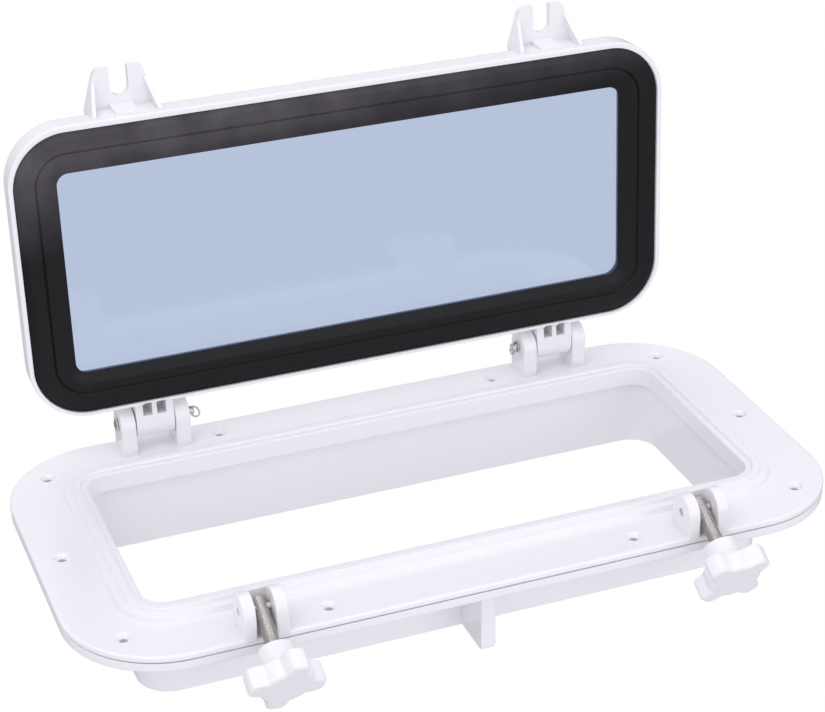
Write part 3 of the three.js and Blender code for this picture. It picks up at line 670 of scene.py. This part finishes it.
def knob(word, side):
    """Four-lobed star on a round collar, as (radius, height, lobe share) rings from the bore outward."""
    sides = 192
    falls = [lobe_fall(360 * i / sides) for i in range(sides)]
    tip, disc, end = LOBE_RADIUS, KNOB_DISC, KNOB_END
    rings = [(0, KNOB_BORE_END), (4.2, KNOB_BORE_END), (4.2, 38.3), (6.6, 38.3), (6.6, KNOB_START + 0.3),
             (6.9, KNOB_START), (8.4, KNOB_START), (9.0, KNOB_START + 0.25), (9.25, KNOB_START + 0.9),
             (9.5, disc - 1.6), (9.9, disc - 0.5), (10.8, disc)]
    rings = [(radius, z, 0) for radius, z in rings]
    for step in range(7):
        turn = math.pi / 2 * step / 6
        rings.append((tip - 1.8 * (1 - math.sin(turn)), disc + 1.8 - 1.8 * math.cos(turn), 1))
    for step in range(8):
        turn = math.pi / 2 * step / 7
        rings.append((tip - 1.9 * (1 - math.cos(turn)), end - 1.9 + 1.9 * math.sin(turn), 1))
    rings += [(12.0, end, 0.15), (8.0, end - 0.1, 0), (4.0, end - 0.15, 0), (0, end - 0.15, 0)]
    verts, rows = [], []
    for radius, z, lobe in rings:
        if radius == 0:
            rows.append([len(verts)] * sides)
            verts.append((0, 0, z))
            continue
        rows.append(list(range(len(verts), len(verts) + sides)))
        for i in range(sides):
            angle = 2 * math.pi * i / sides + math.radians(LOBE_TURN[word] - 45)
            reach = radius - lobe * (LOBE_RADIUS - VALLEY_RADIUS) * falls[i]
            verts.append((reach * math.cos(angle), reach * math.sin(angle), z))
    faces = []
    for low, high in zip(rows, rows[1:]):
        for i in range(sides):
            after = (i + 1) % sides
            if low[0] == low[1]:
                faces.append((low[i], high[after], high[i]))
            elif high[0] == high[1]:
                faces.append((low[i], low[after], high[i]))
            else:
                faces.append((low[i], low[after], high[after], high[i]))
    star = make(f"knob_{word}_look", verts, faces)
    lay(star, f"knob_{word}", PLASTIC, clamp_place(side), 45, nodes=[f"knob_{word}"])


def knob_insert(word, side):
    """Threaded sleeve inside the knob."""
    profile = rounded([(4.2, 24.4, 0.3), (6.3, 24.4, 0.3), (6.3, 38, 0.3), (4.2, 38, 0.3)])
    sleeve = turned(f"knob_insert_{word}_look", profile, 48, ring=True)
    lay(sleeve, f"insert_{word}", STEEL, clamp_place(side), nodes=[f"knob_insert_{word}"])


base_frame()
trim_ring()
lid_frame()
gasket()
pane()
glazing_seal()
for word, side in (("left", -1), ("right", 1)):
    hinge_pin(word, side)
    hinge_washer(word, side)
    split_ring(word, side)
    clamp_pin(word, side)
    swing_bolt(word, side)
    knob(word, side)
    knob_insert(word, side)


# ---- light and camera -------------------------------------------------------------------------
def area_light(name, place, aim, size, power, colour=(1, 1, 1)):
    """A soft rectangular lamp, out of the camera's sight."""
    data = bpy.data.lights.new(name, "AREA")
    data.shape = "RECTANGLE"
    data.size, data.size_y = size
    data.energy = power
    data.color = colour
    lamp = bpy.data.objects.new(name, data)
    lamp.location = place
    lamp.rotation_euler = (Vector(aim) - Vector(place)).to_track_quat("-Z", "Y").to_euler()
    lamp.visible_camera = False
    bpy.context.scene.collection.objects.link(lamp)


def white_room():
    """A white studio, brighter overhead than underfoot, with duller surroundings for reflections."""
    world = bpy.data.worlds.new("white_room")
    world.use_nodes = True
    tree = world.node_tree
    link = tree.links.new
    path = tree.nodes.new("ShaderNodeLightPath")
    place = tree.nodes.new("ShaderNodeTexCoord")
    split = tree.nodes.new("ShaderNodeSeparateXYZ")
    link(place.outputs["Generated"], split.inputs["Vector"])

    def rise(low, high, start, end):
        ramp = tree.nodes.new("ShaderNodeMapRange")
        ramp.interpolation_type = "SMOOTHSTEP"
        for socket, value in (("From Min", start), ("From Max", end), ("To Min", low), ("To Max", high)):
            ramp.inputs[socket].default_value = value
        link(split.outputs["Z"], ramp.inputs["Value"])
        return ramp

    def light(ramp):
        glow = tree.nodes.new("ShaderNodeBackground")
        glow.inputs["Color"].default_value = (0.955, 0.935, 1, 1)
        link(ramp.outputs["Result"], glow.inputs["Strength"])
        return glow

    def choose(output, first, second):
        mix = tree.nodes.new("ShaderNodeMixShader")
        link(path.outputs[output], mix.inputs["Fac"])
        link(first.outputs[0], mix.inputs[1])
        link(second.outputs[0], mix.inputs[2])
        return mix

    seen = tree.nodes["Background"]
    seen.inputs["Color"].default_value = (1, 1, 1, 1)
    seen.inputs["Strength"].default_value = 1.0
    lit = choose("Is Glossy Ray", light(rise(0.88, 0.93, -0.5, 0.7)), light(rise(0.32, 1.0, -0.2, 0.8)))
    link(choose("Is Camera Ray", lit, seen).outputs[0], tree.nodes["World Output"].inputs["Surface"])
    bpy.context.scene.world = world


def pale_floor():
    """A plain floor that the camera sees from above, and that casts and catches no shadow."""
    reach, z = 3.0, -0.0005
    corners = [(-reach, -reach, z), (reach, -reach, z), (reach, reach, z), (-reach, reach, z)]
    mesh = bpy.data.meshes.new("floor")
    mesh.from_pydata(corners, [], [(0, 1, 2, 3)])
    floor = bpy.data.objects.new("floor", mesh)
    bpy.context.scene.collection.objects.link(floor)
    material = bpy.data.materials.new("pale_floor")
    material.use_nodes = True
    tree = material.node_tree
    tree.nodes.clear()
    glow = tree.nodes.new("ShaderNodeEmission")
    clear = tree.nodes.new("ShaderNodeBsdfTransparent")
    mix = tree.nodes.new("ShaderNodeMixShader")
    output = tree.nodes.new("ShaderNodeOutputMaterial")
    tree.links.new(tree.nodes.new("ShaderNodeNewGeometry").outputs["Backfacing"], mix.inputs["Fac"])
    tree.links.new(glow.outputs[0], mix.inputs[1])
    tree.links.new(clear.outputs[0], mix.inputs[2])
    tree.links.new(mix.outputs[0], output.inputs["Surface"])
    mesh.materials.append(material)
    floor.visible_diffuse = False
    floor.visible_glossy = False
    floor.visible_shadow = False


white_room()
pale_floor()
area_light("key", (-0.8, -0.5, 1.5), (0, 0, 0.1), (0.8, 0.8), 4.6, (1, 0.985, 0.965))
area_light("top", (0.2, 0.3, 1.6), (0, 0, 0.05), (1.4, 1.0), 2)
area_light("front", (0.4, -1.4, 0.34), (0, 0, 0.1), (1.5, 0.4), 3)

LOOK_AT, DISTANCE = Vector((-1.1, 0.0, 80.4)), 1235.3
AZIMUTH, ELEVATION, ROLL = math.radians(20.28), math.radians(27.33), math.radians(-1.35)
level = math.cos(ELEVATION)
ahead = Vector((math.sin(AZIMUTH) * level, math.cos(AZIMUTH) * level, -math.sin(ELEVATION)))
across = ahead.cross(Vector((0, 0, 1))).normalized()
above = across.cross(ahead)
right = across * math.cos(ROLL) + above * math.sin(ROLL)
up = above * math.cos(ROLL) - across * math.sin(ROLL)
eye_point = TO_ROW @ (LOOK_AT - ahead * DISTANCE)
lens = bpy.data.cameras.new("view")
lens.lens = 98.1
lens.sensor_width = 36
lens.sensor_fit = "HORIZONTAL"
lens.clip_start = 0.05
camera = bpy.data.objects.new("view", lens)
turn = Matrix((right, up, -ahead)).transposed().to_4x4()
camera.matrix_world = Matrix.Translation(eye_point) @ turn
bpy.context.scene.collection.objects.link(camera)
bpy.context.scene.camera = camera
bpy.context.scene.view_settings.view_transform = "Standard"
